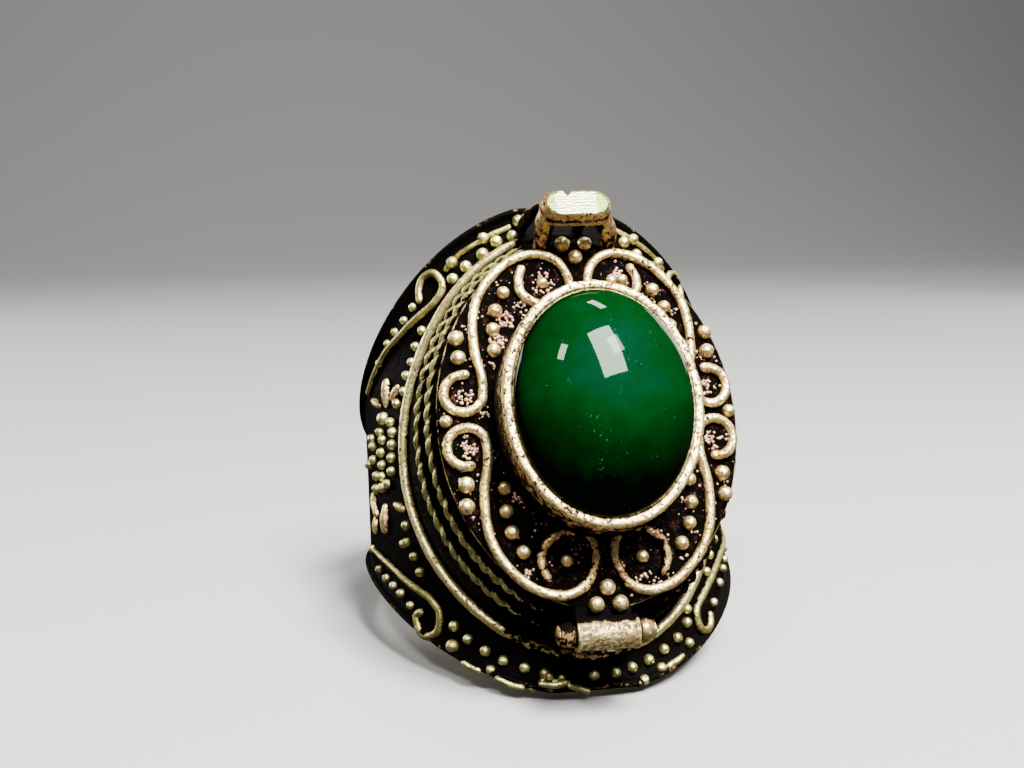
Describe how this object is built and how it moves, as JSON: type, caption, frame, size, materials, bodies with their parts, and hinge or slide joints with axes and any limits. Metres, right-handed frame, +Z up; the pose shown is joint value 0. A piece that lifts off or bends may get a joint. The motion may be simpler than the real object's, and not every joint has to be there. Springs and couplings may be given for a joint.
{
  "type": "locket finger ring",
  "caption": "Finger ring whose domed oval lid, set with a green cabochon and scroll wirework, is hinged on a small oval box above a wide tapered band.",
  "frame": {"origin": "on the table under the middle of the ring's bounding box, as the ring rests on its lower front edge and the back of its shank", "axes": "+Z up from the table; the face of the lid looks along -Y and up by the lean of 25.13 degrees; +X runs across the finger, along the hinge pin; the finger hole's axis lies in the YZ plane, leaned back from +Z by the same lean"},
  "size_m": [0.0196, 0.0272, 0.0225],
  "materials": {
    "silver": "antiqued silver, polished on the high places",
    "dark_silver": "antiqued silver, darkened in the recesses",
    "green_stone": "polished deep green cabochon"
  },
  "bodies": {
    "ring": {"ring_body": "dark_silver", "hinge_pin": "silver"},
    "lid": {"lid": "silver", "stone": "green_stone"}
  },
  "joints": [
    {"name": "lid_hinge", "type": "hinge", "parent": "ring", "child": "lid", "pos_m": [-0.00018, -0.01226, 0.00402], "axis": [1, 0, 0], "range_deg": [0, 100]}
  ]
}
